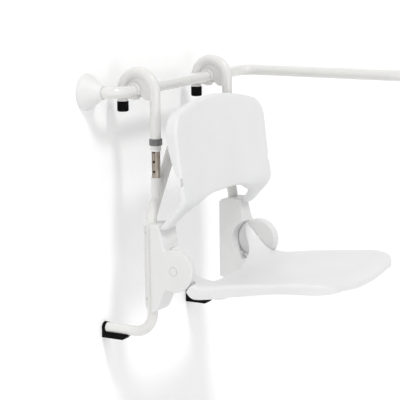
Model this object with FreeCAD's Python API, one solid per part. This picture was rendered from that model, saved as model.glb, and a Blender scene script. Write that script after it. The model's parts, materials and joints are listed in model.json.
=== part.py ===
# Wall-hung shower chair on its handrail: bent tubes, moulded seat, backrest and hinge blocks.
# Millimetres. The wall is the plane Y = 0, the chair faces -Y and +Z is up.
# The origin is the centre of the left wall plate of the handrail, on the wall.
import FreeCAD, Part
import math
import os

V = FreeCAD.Vector
X_AXIS = V(1, 0, 0)
Y_AXIS = V(0, 1, 0)
Z_AXIS = V(0, 0, 1)

# ---- handrail ----
RAIL_D = 35.0
RAIL_BORE = 31.0
RAIL_WALL = 107.0            # rail axis to wall
RAIL_BEND = 57.0             # centre-line radius of its bends
RAIL_CORNER_X = 800.0        # axis of the leg that runs forward along the side wall
RAIL_END_Y = -700.0          # axis of the second wall fixing
PLATE_D = 84.0
PLATE_T = 4.0
PLATE_PCD = 64.0
PLATE_HOLE_D = 6.6
COVER_SKIN = 2.5
COVER_PROFILE = [            # radius and distance from the wall, from the rim to the neck
    (55.5, 3.0), (53.7, 8.8), (47.5, 17.7), (40.9, 27.0), (32.4, 38.8), (24.9, 49.5), (21.6, 55.5), (20.3, 62.0),
]

# ---- hanging tubes ----
CHAIR_X = 330.0              # middle plane of the chair at rest
TUBE_D = 32.0
TUBE_WALL = 175.0            # upright tubes' axes to wall
HOOK_SPACING = 448.0
HOOK_BORE = 28.0
HOOK_BEND = 57.0
HOOK_ARCH_Z = -2.0           # centre of the arch against the rail axis
HOOK_FOOT_Z = -176.5         # lower end of the hanging tube
HOOK_TIP_Z = -60.0           # lower end of the short rear leg
END_CAP_D = 35.0
END_CAP_TOP = -35.0
END_CAP_BOTTOM = -66.5
HOOK_X = CHAIR_X - HOOK_SPACING / 2
HOOK_ARCH = V(HOOK_X, -TUBE_WALL + HOOK_BEND, HOOK_ARCH_Z)
SADDLE_HALF = 20.0           # half thickness across the tube
SADDLE_R = 60.0              # outer radius about the arch
SADDLE_WEB = 8.0             # half thickness of the recessed web
SADDLE_SLEEVE_D = 38.0       # rounded lip that grips the tube's inner half
SADDLE_BORE_R = RAIL_D / 2 + 0.3
SADDLE_CLIP_R = 24.0         # thick part round the rail
SADDLE_LOBE_R = 29.0

# ---- height adjustment ----
COLLAR_D = 39.5
COLLAR_TOP = -143.0
COLLAR_BOTTOM = -163.0
LOCK_Z = -152.0
LOCK_PITCH = 30.0
LOCK_HOLES = 4
LOCK_D = 8.0
KNOB_D = 9.0
INNER_D = 26.0
INNER_BORE = 22.0
INNER_TOP = -95.0
BUSH_BORE = 26.1
BUSH_TOP = -120.0
BUSH_RIM = 4.0

# ---- lower frame ----
FRAME_SPACING = 516.0
FRAME_BORE = 28.0
FRAME_X = CHAIR_X - FRAME_SPACING / 2
FOOT_Z = -737.0              # axis of the lower horizontal legs
FOOT_BEND = 64.0
KNEE_Z = -378.0              # where the upright turns inward
KNEE_BEND = 80.0
SPLICE = (-145.0, -205.0)    # X from the middle plane and Z where side tube meets cross tube
CROSS_CORNER = (-109.0, -150.0)
CROSS_BEND = 48.0
SLEEVE_TOP = -260.5

# ---- feet ----
FOOT_DISC_D = 35.0
FOOT_DISC_T = 11.0
FOOT_SOLE_Z = -767.0
FOOT_SOLE_W = 34.0
FOOT_SOLE_L = 92.0

# ---- hinge ----
HINGE_Y = -265.0
HINGE_Z = -530.0
CHEEK_R = 64.5
CHEEK_OUT = 285.0            # outer face from the middle plane
CHEEK_IN = 256.0             # inner face of the round cheek
BLOCK_IN = 207.0             # inner face of the block
KNUCKLE_POCKET_R = 69.0
KNUCKLE_R = 64.0
BLOCK_REAR = -187.0
BLOCK_REAR_INNER = -150.0
PIN_D = 12.0
PIN_CAP_D = 25.0
PIN_CAP_T = 3.0
PIN_L = 36.0                 # from the cap to the bottom of the ear's blind bore
BUSH_D = 18.0
BUSH_L = 11.0
HINGE_BUSH_BORE = 12.1
STOP_W = 20.0
TOOTH_ANGLES = (25.0, 37.5)  # from straight down towards the wall
BUFFER_ANGLES = (38.2, 50.0)
BLOCK_SCREW_Z = (-425.0, -630.0)
SCREW_D = 6.0
SCREW_HEAD_D = 11.0
NECK_AND_TAIL = [
    (BLOCK_REAR_INNER, -408.0), (-158.0, -399.0), (-190.0, -394.0), (-210.0, -394.0), (-217.0, -398.0),
    (-222.0, -431.0), (-234.0, -468.0), (-265.0, -490.0), (-265.0, -570.0), (-232.0, -596.0),
    (-218.0, -627.0), (-206.0, -653.0), (-200.0, -660.0), (-190.0, -663.0), (BLOCK_REAR_INNER, -655.0),
]

# ---- seat ----
SEAT_HALF = 285.0
SEAT_FRONT = -765.0
SEAT_FRONT_R = 95.0
SEAT_SKIN = 5.0
RIB_T = 3.5
# Stations from rear to front: Y, half width, lower edge's Z, then the top surface's Z from the middle
# out to the rim, at the distances in SEAT_ACROSS scaled to the half width.
SEAT_ACROSS = (0.0, 60.0, 106.0, 151.0, 187.0, 214.0, 238.0, 256.0, 274.0, 285.0)
SEAT_STATIONS = [
    (-215.0, 285.0, -606.0, (-604.0, -603.0, -598.0, -576.0, -552.0, -530.0, -505.0, -478.0, -476.0, -476.0)),
    (-240.0, 285.0, -606.0, (-604.0, -603.0, -599.0, -577.0, -554.0, -534.0, -513.0, -486.0, -484.0, -484.0)),
    (-260.0, 285.0, -606.0, (-604.0, -603.0, -599.0, -577.0, -555.0, -537.0, -523.0, -508.0, -506.0, -506.0)),
    (-280.0, 285.0, -606.0, (-604.0, -603.0, -598.0, -577.0, -557.0, -545.0, -537.0, -531.0, -530.0, -532.0)),
    (-302.0, 285.0, -582.0, (-603.0, -601.0, -595.0, -578.0, -563.0, -556.0, -552.0, -551.0, -552.0, -557.0)),
    (-333.0, 285.0, -606.0, (-600.0, -598.0, -592.0, -580.0, -570.0, -566.0, -565.0, -565.0, -566.0, -572.0)),
    (-370.0, 285.0, -604.0, (-597.0, -595.0, -589.0, -580.0, -573.0, -569.0, -566.0, -565.0, -566.0, -573.0)),
    (-460.0, 283.0, -591.0, (-589.0, -587.0, -582.0, -574.0, -567.0, -561.0, -556.0, -553.0, -553.0, -560.0)),
    (-560.0, 277.0, -570.0, (-580.0, -578.0, -574.0, -567.0, -560.0, -553.0, -547.0, -542.0, -541.0, -548.0)),
    (-680.0, 266.0, -556.0, (-567.0, -566.0, -562.0, -556.0, -550.0, -543.0, -537.0, -530.0, -528.0, -535.0)),
    (SEAT_FRONT, 255.0, -557.0, (-562.0, -561.0, -557.0, -552.0, -547.0, -542.0, -537.0, -532.0, -531.0, -537.0)),
]
SEAT_REAR = (-280.0, 140.0)  # straight rear edge: Y and half length
SEAT_SWEEP = [(187.0, -272.0), (214.0, -257.0), (238.0, -237.0), (250.0, -223.0)]
EAR_OUT = 255.5
OUTER_STRIP_Y = -307.5       # rear end of the strip outside the cheeks
CHEEK_GAP_R = 69.5           # the strip's rear end follows the cheek at this radius

# ---- backrest ----
BACK_HALF = 283.0
BACK_SKIN = 5.0
BRACKET_X = 62.0
BRACKET_W = 30.0
BRACKET_FACE_Y = -248.0
BRACKET_SCREW_Z = (-120.0, -180.0)
BOSS_D = 16.0
BACK_FRONT_EDGE = [
    (-266.0, -28.0), (-274.0, -75.0), (-281.0, -120.0), (-291.0, -205.0), (-302.0, -286.0), (-306.0, -312.0),
    (-303.0, -330.0), (-294.0, -346.0), (-281.0, -361.0), (-253.0, -393.0), (-236.0, -412.0),
]
BACK_REAR_EDGE = [
    (-214.0, -412.0), (-229.0, -392.0), (-266.0, -356.0), (-284.0, -334.0), (-290.0, -308.0), (-289.0, -290.0),
    (-281.0, -279.0), (-281.0, -246.0), (-266.0, -208.0), (-251.0, -155.0), (-242.0, -91.0), (-237.0, -28.0),
]
NOTCH_R = 14.5
NOTCH_Z = -260.0
NOTCH_Y = -288.0             # centre of its round end
BACK_OUTLINE = [             # X from the middle, Z and corner radius, from one leg's foot to the crown
    (231.0, -412.0, 18.0), (283.0, -412.0, 18.0), (283.0, -73.0, 70.0), (0.0, -3.0, 900.0),
]
BACK_ARCH = [(-212.0, -363.0, 50.0), (-105.0, -321.0, 250.0), (105.0, -321.0, 250.0), (212.0, -363.0, 50.0)]
BACK_CURVE_R = 3300.0        # gentle hollow of the panel in plan
BACK_CURVE_DEPTH = 11.0


def cylinder(radius, base, direction, length):
    return Part.makeCylinder(radius, length, base, direction)


def ring(radius_out, radius_in, base, direction, length):
    return cylinder(radius_out, base, direction, length).cut(cylinder(radius_in, base, direction, length))


def bent_path(points, radius):
    """Straight runs through the points, each inner corner rounded to the bend radius."""
    edges = []
    start = points[0]
    for before, corner, after in zip(points, points[1:], points[2:]):
        into = (corner - before).normalize()
        out = (after - corner).normalize()
        turn = into.getAngle(out)
        reach = radius * math.tan(turn / 2)
        arc_start = corner - into * reach
        arc_end = corner + out * reach
        inward = (out - into).normalize()
        middle = corner + inward * (radius / math.cos(turn / 2) - radius)
        edges.append(Part.makeLine(start, arc_start))
        edges.append(Part.Arc(arc_start, middle, arc_end).toShape())
        start = arc_end
    edges.append(Part.makeLine(start, points[-1]))
    return Part.Wire(edges)


def swept_rod(path, diameter):
    first = path.Edges[0]
    start = first.valueAt(first.FirstParameter)
    direction = first.tangentAt(first.FirstParameter)
    circle = Part.Wire(Part.makeCircle(diameter / 2, start, direction))
    return path.makePipeShell([circle], True, False)


def bent_tube(path, outer, bore):
    return swept_rod(path, outer).cut(swept_rod(path, bore))


def profile_face(points, x):
    """Closed straight outline of (Y, Z) pairs in the plane X = x."""
    corners = [V(x, y, z) for y, z in points]
    return Part.Face(Part.makePolygon(corners + [corners[0]]))


def side(name, shape, nodes):
    """Keeps a left-hand piece and its mirror image about the chair's middle plane."""
    nodes[name + "_left"] = shape
    nodes[name + "_right"] = shape.mirror(V(CHAIR_X, 0, 0), X_AXIS)


# ---- handrail pieces ----
def rail_path():
    points = [
        V(0, -PLATE_T, 0),
        V(0, -RAIL_WALL, 0),
        V(RAIL_CORNER_X, -RAIL_WALL, 0),
        V(RAIL_CORNER_X, RAIL_END_Y, 0),
        V(RAIL_CORNER_X + RAIL_WALL - PLATE_T, RAIL_END_Y, 0),
    ]
    return bent_path(points, RAIL_BEND)


def wall_rail():
    return bent_tube(rail_path(), RAIL_D, RAIL_BORE)


def wall_plate():
    plate = cylinder(PLATE_D / 2, V(0, 0, 0), -Y_AXIS, PLATE_T)
    for step in range(3):
        angle = math.radians(90 + 120 * step)
        centre = V(PLATE_PCD / 2 * math.cos(angle), 0, PLATE_PCD / 2 * math.sin(angle))
        plate = plate.cut(cylinder(PLATE_HOLE_D / 2, centre, -Y_AXIS, PLATE_T))
    return plate


def cover_curve(inset):
    """The cone's section in the X-Y plane, from rim to neck, its radius reduced by the inset."""
    curve = Part.BSplineCurve()
    curve.interpolate([V(radius - inset, -reach, 0) for radius, reach in COVER_PROFILE])
    return curve


def flange_cover():
    """Hollow cone that hides the wall plate; its rim sits on the wall."""
    outer = cover_curve(0.0)
    inner = cover_curve(COVER_SKIN)
    on_wall = V(outer.StartPoint.x, 0, 0)
    on_wall_in = V(inner.StartPoint.x, 0, 0)
    edges = [
        Part.makeLine(on_wall, outer.StartPoint),
        outer.toShape(),
        Part.makeLine(outer.EndPoint, inner.EndPoint),
        inner.toShape(),
        Part.makeLine(inner.StartPoint, on_wall_in),
        Part.makeLine(on_wall_in, on_wall),
    ]
    return Part.Face(Part.Wire(edges)).revolve(V(0, 0, 0), Y_AXIS, 360)


def at_side_wall(shape):
    """Turns a piece made for the back wall to the side wall at the rail's other end."""
    turned = shape.copy()
    turned.rotate(V(0, 0, 0), Z_AXIS, -90)
    turned.translate(V(RAIL_CORNER_X + RAIL_WALL, RAIL_END_Y, 0))
    return turned


# ---- hanging tubes ----
def hook_path():
    front = V(HOOK_X, -TUBE_WALL, HOOK_ARCH_Z)
    top = HOOK_ARCH + V(0, 0, HOOK_BEND)
    rear = V(HOOK_X, -TUBE_WALL + 2 * HOOK_BEND, HOOK_ARCH_Z)
    return Part.Wire([
        Part.makeLine(V(HOOK_X, -TUBE_WALL, HOOK_FOOT_Z), front),
        Part.Arc(front, top, rear).toShape(),
        Part.makeLine(rear, V(HOOK_X, rear.y, HOOK_TIP_Z)),
    ])


def hook_tube():
    tube = bent_tube(hook_path(), TUBE_D, HOOK_BORE)
    hole = cylinder(LOCK_D / 2 + 0.05, V(HOOK_X, -TUBE_WALL, LOCK_Z), -X_AXIS, TUBE_D)
    return tube.cut(hole)


def hook_end_cap():
    base = V(HOOK_X, -TUBE_WALL + 2 * HOOK_BEND, END_CAP_BOTTOM)
    cap = cylinder(END_CAP_D / 2, base, Z_AXIS, END_CAP_TOP - END_CAP_BOTTOM)
    cap = cap.makeFillet(5.0, [cap.Edges[2]])
    return cap.cut(cylinder(TUBE_D / 2, V(base.x, base.y, HOOK_TIP_Z), Z_AXIS, 60))


def saddle_outline():
    """Half round under the arch; the rear lobe hooks under the rail and a notch lets it spring."""
    x = HOOK_X
    centre = HOOK_ARCH

    def at(y, z):
        return V(x, y, z)

    front = at(centre.y - SADDLE_R, centre.z)
    rear = at(centre.y + SADDLE_R, centre.z)
    lobe_start = at(-RAIL_WALL + 12.0, -math.sqrt(SADDLE_LOBE_R ** 2 - 12.0 ** 2))
    lobe_mid = at(-RAIL_WALL, -SADDLE_LOBE_R)
    lobe_end = at(-RAIL_WALL - 9.0, -math.sqrt(SADDLE_LOBE_R ** 2 - 9.0 ** 2))
    heel = at(rear.y, lobe_start.z)
    notch = [lobe_end, at(-118.0, -19.0), at(-118.5, -9.0), at(-121.0, -8.0), at(-130.0, -12.0),
             at(-137.0, -22.0), at(-146.0, -28.0), at(front.y, -30.0), front]
    edges = [
        Part.Arc(front, centre + V(0, 0, SADDLE_R), rear).toShape(),
        Part.makeLine(rear, heel),
        Part.makeLine(heel, lobe_start),
        Part.Arc(lobe_start, lobe_mid, lobe_end).toShape(),
    ]
    edges += [Part.makeLine(p, q) for p, q in zip(notch, notch[1:])]
    return Part.Face(Part.Wire(edges))


def rail_saddle():
    """Moulded insert that fills the arch, grips the tube's inner half and clips round the rail."""
    outline = saddle_outline()
    outline.translate(V(-SADDLE_HALF, 0, 0))
    block = outline.extrude(V(2 * SADDLE_HALF, 0, 0))
    clip = cylinder(SADDLE_CLIP_R, V(HOOK_X - SADDLE_HALF, -RAIL_WALL, 0), X_AXIS, 2 * SADDLE_HALF)
    lip = swept_rod(hook_path(), SADDLE_SLEEVE_D)
    outline.translate(V(SADDLE_HALF - SADDLE_WEB, 0, 0))
    web = outline.extrude(V(2 * SADDLE_WEB, 0, 0))
    body = web.fuse(block.common(clip)).fuse(block.common(lip))
    body = body.cut(cylinder(SADDLE_BORE_R, V(HOOK_X - 40, -RAIL_WALL, 0), X_AXIS, 80))
    return body.cut(swept_rod(hook_path(), TUBE_D + 0.1)).removeSplitter()


def height_collar():
    base = V(HOOK_X, -TUBE_WALL, COLLAR_BOTTOM)
    collar = cylinder(COLLAR_D / 2, base, Z_AXIS, COLLAR_TOP - COLLAR_BOTTOM)
    collar = collar.makeFillet(2.0, [collar.Edges[0], collar.Edges[2]])
    collar = collar.cut(cylinder(TUBE_D / 2, base, Z_AXIS, 40))
    pocket = V(HOOK_X - COLLAR_D / 2 + 1.0, -TUBE_WALL, LOCK_Z)
    collar = collar.cut(cylinder(KNOB_D / 2 + 0.05, pocket, -X_AXIS, 5))
    return collar.cut(cylinder(LOCK_D / 2 + 0.05, V(HOOK_X, -TUBE_WALL, LOCK_Z), -X_AXIS, TUBE_D))


def lock_pin():
    inner = V(HOOK_X - HOOK_BORE / 2 - 0.1, -TUBE_WALL, LOCK_Z)
    head_x = HOOK_X - COLLAR_D / 2 + 1.0
    pin = cylinder(LOCK_D / 2, inner, -X_AXIS, inner.x - head_x)
    knob = cylinder(KNOB_D / 2, V(head_x, -TUBE_WALL, LOCK_Z), -X_AXIS, 3.0)
    knob = knob.makeFillet(1.0, [knob.Edges[0]])
    return pin.fuse(knob).removeSplitter()


def guide_bush():
    low = HOOK_FOOT_Z - BUSH_RIM
    base = V(HOOK_X, -TUBE_WALL, low)
    bush = cylinder(HOOK_BORE / 2, base, Z_AXIS, BUSH_TOP - low)
    rim = cylinder(TUBE_D / 2 - 0.5, base, Z_AXIS, BUSH_RIM)
    bush = bush.fuse(rim).removeSplitter()
    return bush.cut(cylinder(BUSH_BORE / 2, base, Z_AXIS, 120))


# ---- lower frame ----
def side_tube_path():
    points = [
        V(FRAME_X, -FOOT_DISC_T + 2, FOOT_Z),
        V(FRAME_X, -TUBE_WALL, FOOT_Z),
        V(FRAME_X, -TUBE_WALL, KNEE_Z),
        V(CHAIR_X + SPLICE[0], -TUBE_WALL, SPLICE[1]),
    ]
    lower = bent_path(points[:3], FOOT_BEND)
    upper = bent_path([points[1] + V(0, 0, 150)] + points[2:], KNEE_BEND)
    joint = upper.Edges[0].Vertexes[0].Point
    edges = lower.Edges[:2] + [Part.makeLine(lower.Edges[2].Vertexes[0].Point, joint)] + upper.Edges
    return Part.Wire(edges)


def side_tube():
    tube = bent_tube(side_tube_path(), TUBE_D, FRAME_BORE)
    for z in BLOCK_SCREW_Z:
        rear = V(FRAME_X, -TUBE_WALL + TUBE_D, z)
        tube = tube.cut(cylinder(SCREW_D / 2, rear, -Y_AXIS, 2 * TUBE_D))
        tube = tube.cut(cylinder(SCREW_HEAD_D / 2, rear, -Y_AXIS, TUBE_D / 2 + 1))
    return tube


def back_cross_tube():
    left = V(CHAIR_X + SPLICE[0], -TUBE_WALL, SPLICE[1])
    corner = V(CHAIR_X + CROSS_CORNER[0], -TUBE_WALL, CROSS_CORNER[1])
    points = [left, corner]
    for point in (corner, left):
        points.append(V(2 * CHAIR_X - point.x, point.y, point.z))
    return bent_tube(bent_path(points, CROSS_BEND), TUBE_D, FRAME_BORE)


def upright(diameter, low, high):
    return cylinder(diameter / 2, V(HOOK_X, -TUBE_WALL, low), Z_AXIS, high - low)


def top_piece(shape):
    """The solid whose centre is highest, after a cut has split a shape."""
    return max(shape.Solids, key=lambda solid: solid.CenterOfMass.z)


def lower_sleeve():
    outer = upright(TUBE_D, -345, SLEEVE_TOP).cut(swept_rod(side_tube_path(), TUBE_D))
    return top_piece(outer).cut(upright(INNER_D, -345, SLEEVE_TOP))


def inner_tube():
    solid = upright(INNER_D, -340, INNER_TOP).cut(swept_rod(side_tube_path(), TUBE_D))
    tube = top_piece(solid).cut(upright(INNER_BORE, -340, INNER_TOP))
    for step in range(LOCK_HOLES):
        centre = V(HOOK_X, -TUBE_WALL, LOCK_Z - LOCK_PITCH * step)
        tube = tube.cut(cylinder(LOCK_D / 2 + 0.05, centre, -X_AXIS, INNER_D))
    return tube


def foot_pad():
    """Rubber shoe: a disc between tube end and wall, with a sole under the tube."""
    disc = cylinder(FOOT_DISC_D / 2, V(FRAME_X, 0, FOOT_Z), -Y_AXIS, FOOT_DISC_T)
    top = FOOT_Z - TUBE_D / 2 + 4
    front = -FOOT_SOLE_L
    outline = [(0, top), (0, FOOT_SOLE_Z), (front + 18, FOOT_SOLE_Z), (front, top - 3), (front + 18, top)]
    sole = profile_face(outline, FRAME_X - FOOT_SOLE_W / 2).extrude(V(FOOT_SOLE_W, 0, 0))
    heel = Part.makeBox(FOOT_SOLE_W, FOOT_DISC_T, -FOOT_SOLE_Z + FOOT_Z,
                        V(FRAME_X - FOOT_SOLE_W / 2, -FOOT_DISC_T, FOOT_SOLE_Z))
    pad = disc.fuse([sole, heel]).removeSplitter()
    return pad.cut(swept_rod(side_tube_path(), TUBE_D))


# ---- hinge blocks ----
def sector(inner, outer, low_angle, high_angle, x, width):
    """Ring sector about the hinge axis; angles run from straight down towards the wall."""
    def at(radius, angle):
        turn = math.radians(angle)
        return V(x, HINGE_Y + radius * math.sin(turn), HINGE_Z - radius * math.cos(turn))

    middle = (low_angle + high_angle) / 2
    edges = [
        Part.Arc(at(inner, low_angle), at(inner, middle), at(inner, high_angle)).toShape(),
        Part.makeLine(at(inner, high_angle), at(outer, high_angle)),
        Part.Arc(at(outer, high_angle), at(outer, middle), at(outer, low_angle)).toShape(),
        Part.makeLine(at(outer, low_angle), at(inner, low_angle)),
    ]
    return Part.Face(Part.Wire(edges)).extrude(V(width, 0, 0))


def stop_buffer():
    """Rubber pad in the block's pocket on which the seat's stop tooth lands."""
    return sector(KNUCKLE_R + 1, KNUCKLE_POCKET_R + 7, *BUFFER_ANGLES, CHAIR_X - CHEEK_IN, STOP_W)


def block_screws():
    """Low-headed screws from behind the upright through both tube walls into the block."""
    screws = []
    for z in BLOCK_SCREW_Z:
        seat = V(FRAME_X, -TUBE_WALL + TUBE_D / 2 - 1.0, z)
        head = cylinder(SCREW_HEAD_D / 2, seat, Y_AXIS, 3.0)
        head = head.makeFillet(1.2, [head.Edges[0]])
        socket = cylinder(2.5, seat + V(0, 1.2, 0), Y_AXIS, 2.0)
        shank = cylinder(SCREW_D / 2, seat, -Y_AXIS, TUBE_D + 12)
        screws.append(head.fuse(shank).removeSplitter().cut(socket))
    return Part.makeCompound(screws)


def hinge_block():
    """Moulding on the front of the upright: a round cheek outside, a round pocket inside."""
    out_x = CHAIR_X - CHEEK_OUT
    cheek_x = CHAIR_X - CHEEK_IN
    in_x = CHAIR_X - BLOCK_IN
    body = profile_face(NECK_AND_TAIL, out_x).extrude(V(in_x - out_x, 0, 0))
    centre = V(out_x, HINGE_Y, HINGE_Z)
    body = body.fuse(cylinder(CHEEK_R, centre, X_AXIS, cheek_x - out_x)).removeSplitter()
    pocket = cylinder(KNUCKLE_POCKET_R, V(cheek_x, HINGE_Y, HINGE_Z), X_AXIS, 60)
    body = body.cut(pocket)
    notch = Part.makeBox(FRAME_X - out_x, 60, 300, V(out_x, BLOCK_REAR, -680))
    body = body.cut(notch).cut(cylinder(TUBE_D / 2 + 0.05, V(FRAME_X, -TUBE_WALL, -680), Z_AXIS, 300))
    rim = [edge for edge in body.Edges if edge.BoundBox.XLength < 0.01
           and abs(edge.BoundBox.XMin - out_x) < 0.01 and edge.CenterOfMass.y < BLOCK_REAR - 1]
    body = body.makeFillet(4.0, rim)
    bore = cylinder(PIN_D / 2, centre, X_AXIS, 60)
    recess = cylinder(PIN_CAP_D / 2, centre, X_AXIS, PIN_CAP_T)
    body = body.cut(bore).cut(recess).cut(stop_buffer())
    for z in BLOCK_SCREW_Z:
        axis_point = V(FRAME_X, -TUBE_WALL, z)
        body = body.cut(cylinder(SCREW_D / 2, axis_point, -Y_AXIS, TUBE_D / 2 + 14))
        body = body.cut(cylinder(SCREW_HEAD_D / 2 + 1, axis_point, Y_AXIS, TUBE_D))
    return body


def hinge_pin():
    start = CHAIR_X - CHEEK_OUT + PIN_CAP_T
    return cylinder(PIN_D / 2, V(start, HINGE_Y, HINGE_Z), X_AXIS, PIN_L)


def pin_cap():
    cap = cylinder(PIN_CAP_D / 2, V(CHAIR_X - CHEEK_OUT + PIN_CAP_T, HINGE_Y, HINGE_Z), -X_AXIS, PIN_CAP_T + 1.0)
    return cap.makeFillet(0.8, [cap.Edges[0]])


def hinge_bush():
    base = V(CHAIR_X - EAR_OUT, HINGE_Y, HINGE_Z)
    return ring(BUSH_D / 2, HINGE_BUSH_BORE / 2, base, X_AXIS, BUSH_L)


# ---- seat ----
def seat_section(y, half, low, heights, drop=0.0, inset=0.0, floor=None):
    """Closed cross-section of the dished seat; the hollow under the skin uses a drop and an inset."""
    reach = half - inset
    scale = reach / SEAT_ACROSS[-1]
    right_side = [V(CHAIR_X + across * scale, y, z - drop) for across, z in zip(SEAT_ACROSS, heights)]
    left_side = [V(2 * CHAIR_X - point.x, y, point.z) for point in right_side[1:]]
    top = Part.BSplineCurve()
    top.interpolate(left_side[::-1] + right_side)
    base = low if floor is None else floor
    right = V(CHAIR_X + reach, y, base)
    left = V(CHAIR_X - reach, y, base)
    under = min(base, heights[0] - 22) if floor is None else base
    sag = Part.BSplineCurve()
    half_way = (base + 2 * under) / 3
    sag.interpolate([right, V(CHAIR_X + reach * 0.6, y, half_way), V(CHAIR_X, y, under),
                     V(CHAIR_X - reach * 0.6, y, half_way), left])
    return Part.Wire([
        top.toShape(),
        Part.makeLine(right_side[-1], right),
        sag.toShape() if floor is None else Part.makeLine(right, left),
        Part.makeLine(left, left_side[-1]),
    ])


def plan_prism(inset, low, high):
    """Upright block with the seat's outline in plan: swept rear, tapering sides, rounded front."""
    front = SEAT_FRONT + inset
    r = SEAT_FRONT_R - inset
    half_rear = SEAT_HALF - inset
    half_front = SEAT_HALF - 22.0 - inset

    def at(x, y):
        return V(CHAIR_X + x, y, low)

    sweep = Part.BSplineCurve()
    start_y, start_x = SEAT_REAR
    sweep.interpolate([at(start_x, start_y - inset)] + [at(x, y - inset) for x, y in SEAT_SWEEP])
    right_sweep = sweep.toShape()
    left_sweep = right_sweep.mirror(V(CHAIR_X, 0, 0), X_AXIS)
    tip_x, tip_y = SEAT_SWEEP[-1][0], SEAT_SWEEP[-1][1] - inset
    strip_y = OUTER_STRIP_Y - inset
    right = [at(tip_x, tip_y), at(EAR_OUT, tip_y), at(EAR_OUT, strip_y), at(half_rear, strip_y),
             at(half_rear, -400.0)]
    left = [V(2 * CHAIR_X - point.x, point.y, low) for point in right]
    front_run = bent_path([right[-1], at(half_front, front), at(-half_front, front), left[-1]], r)
    edges = [Part.makeLine(at(-start_x, start_y - inset), at(start_x, start_y - inset)), right_sweep]
    edges += [Part.makeLine(p, q) for p, q in zip(right, right[1:])]
    edges += front_run.Edges
    edges += [Part.makeLine(p, q) for p, q in zip(left, left[1:])]
    edges.append(left_sweep)
    wire = Part.Wire(Part.__sortEdges__(edges))
    return Part.Face(wire).extrude(V(0, 0, high - low))


def seat_cavity():
    """Hollow under the seat skin, divided by ribs."""
    stations = [station for station in SEAT_STATIONS if station[0] < -300.0]
    sections = [seat_section(*station, drop=SEAT_SKIN, inset=SEAT_SKIN, floor=-700.0) for station in stations]
    hollow = Part.makeLoft(sections, True, True).common(plan_prism(SEAT_SKIN, -700, -450))
    walls = [Part.makeBox(600, RIB_T, 150, V(CHAIR_X - 300, y, -700)) for y in (-350, -450, -550, -650)]
    for offset in (-196, -98, 0, 98, 196):
        walls.append(Part.makeBox(RIB_T, 560, 150, V(CHAIR_X + offset - RIB_T / 2, -800, -700)))
    return hollow.cut(walls)


def ear_clearance(outward):
    """Space round the hinge that the seat keeps clear so that it can turn inside the block."""
    start = V(CHAIR_X + outward * (BLOCK_IN - 4), HINGE_Y, HINGE_Z)
    length = EAR_OUT - BLOCK_IN + 4
    swept = cylinder(KNUCKLE_POCKET_R + 40, start, X_AXIS * outward, length)
    x = min(start.x, start.x + outward * length)
    front = Part.makeBox(length, 400, 400, V(x, HINGE_Y - 400, HINGE_Z - 200))
    inner = swept.cut(cylinder(KNUCKLE_R, start, X_AXIS * outward, length)).cut(front)
    outer_start = V(CHAIR_X + outward * EAR_OUT, HINGE_Y, HINGE_Z)
    outer = cylinder(CHEEK_GAP_R, outer_start, X_AXIS * outward, 60)
    return [inner, outer]


def ear_plate():
    """Thin round web against the cheek with the stop tooth on its rear edge."""
    x = CHAIR_X - EAR_OUT
    plate = cylinder(KNUCKLE_R, V(x, HINGE_Y, HINGE_Z), X_AXIS, 5.0)
    below_crease = [(-190.0, -465.0), (-226.0, -478.0), (-237.0, -486.0), (-256.0, -506.0), (-272.0, -524.0),
                    (-300.0, -552.0), (-340.0, -575.0), (-340.0, -600.0), (-190.0, -600.0)]
    keep = profile_face(below_crease, x).extrude(V(5.0, 0, 0))
    tooth = sector(KNUCKLE_R - 5, KNUCKLE_R + 4, *TOOTH_ANGLES, x, STOP_W)
    root = sector(30.0, KNUCKLE_R, TOOTH_ANGLES[0], TOOTH_ANGLES[1], x, STOP_W)
    return [plate.common(keep), tooth, root]


def seat_shell():
    body = Part.makeLoft([seat_section(*station) for station in SEAT_STATIONS], True, True)
    body = body.common(plan_prism(0.0, -700, -450))
    body = body.cut(seat_cavity())
    body = body.cut(ear_clearance(-1) + ear_clearance(1))
    left_parts = ear_plate()
    right_parts = [part.mirror(V(CHAIR_X, 0, 0), X_AXIS) for part in left_parts]
    body = body.fuse(left_parts + right_parts).removeSplitter()
    for outward in (-1, 1):
        mouth = V(CHAIR_X + outward * EAR_OUT, HINGE_Y, HINGE_Z)
        body = body.cut(cylinder(BUSH_D / 2, mouth, X_AXIS * -outward, BUSH_L))
    return body


# ---- backrest ----
# Side view of the backrest from the top down its front face, round the leg and up its rear edge.
def rounded_face(corners):
    """Face with straight edges between rounded corners, from points that carry their radius."""
    starts = []
    edges = []
    for i, (corner, radius) in enumerate(corners):
        before = corners[i - 1][0]
        after = corners[(i + 1) % len(corners)][0]
        into = (corner - before).normalize()
        out = (after - corner).normalize()
        turn = into.getAngle(out)
        reach = radius * math.tan(turn / 2)
        middle = corner + (out - into).normalize() * (radius / math.cos(turn / 2) - radius)
        starts.append((corner - into * reach, middle, corner + out * reach))
    for i, (start, middle, end) in enumerate(starts):
        edges.append(Part.Arc(start, middle, end).toShape())
        following = starts[(i + 1) % len(starts)][0]
        if end.distanceToPoint(following) > 0.001:
            edges.append(Part.makeLine(end, following))
    return Part.Face(Part.Wire(edges))


def back_front_view():
    """Outline seen from the front: crowned top, rounded shoulders, arched foot and two legs."""
    left = [(-x, z, radius) for x, z, radius in reversed(BACK_OUTLINE[:3])]
    outline = BACK_OUTLINE + left + BACK_ARCH
    return rounded_face([(V(CHAIR_X + x, -400, z), radius) for x, z, radius in outline])


def back_hollow(radius):
    """Large cylinder in front of the panel, leaning with it, that gives the hollow in plan."""
    lean = math.atan2(302.0 - 281.0, 286.0 - 120.0)
    axis = V(0, math.sin(lean), math.cos(lean))
    forward = V(0, -math.cos(lean), math.sin(lean))
    on_panel = V(CHAIR_X, -302.0 + BACK_CURVE_DEPTH, -286.0)
    return cylinder(radius, on_panel + forward * BACK_CURVE_R - axis * 900, axis, 1500)


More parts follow.
